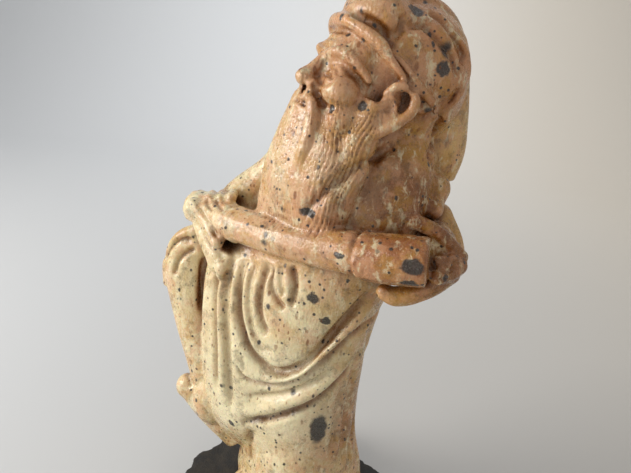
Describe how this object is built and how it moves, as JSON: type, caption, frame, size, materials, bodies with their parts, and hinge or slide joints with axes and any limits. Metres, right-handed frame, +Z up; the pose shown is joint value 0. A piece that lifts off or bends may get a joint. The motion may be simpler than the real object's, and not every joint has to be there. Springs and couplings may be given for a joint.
{
  "type": "soapstone figurine",
  "caption": "Carved stone figurine of a bearded old man in a soft cap, holding a drum tube across his chest, seated on a low slab of rough dark rock.",
  "frame": {"origin": "on the flat underside of the rock plinth, below the figure's centre line", "axes": "+Z up, the height of the figure; -Y is the way the figure's body faces; +X is the figure's own left"},
  "size_m": [0.1008, 0.0753, 0.1957],
  "materials": {
    "soapstone": "polished speckled cream and brown soapstone, satin",
    "dark_rock": "rough dark rock, matt"
  },
  "bodies": {
    "root": {"figure": "soapstone", "rock_plinth": "dark_rock"}
  },
  "joints": []
}
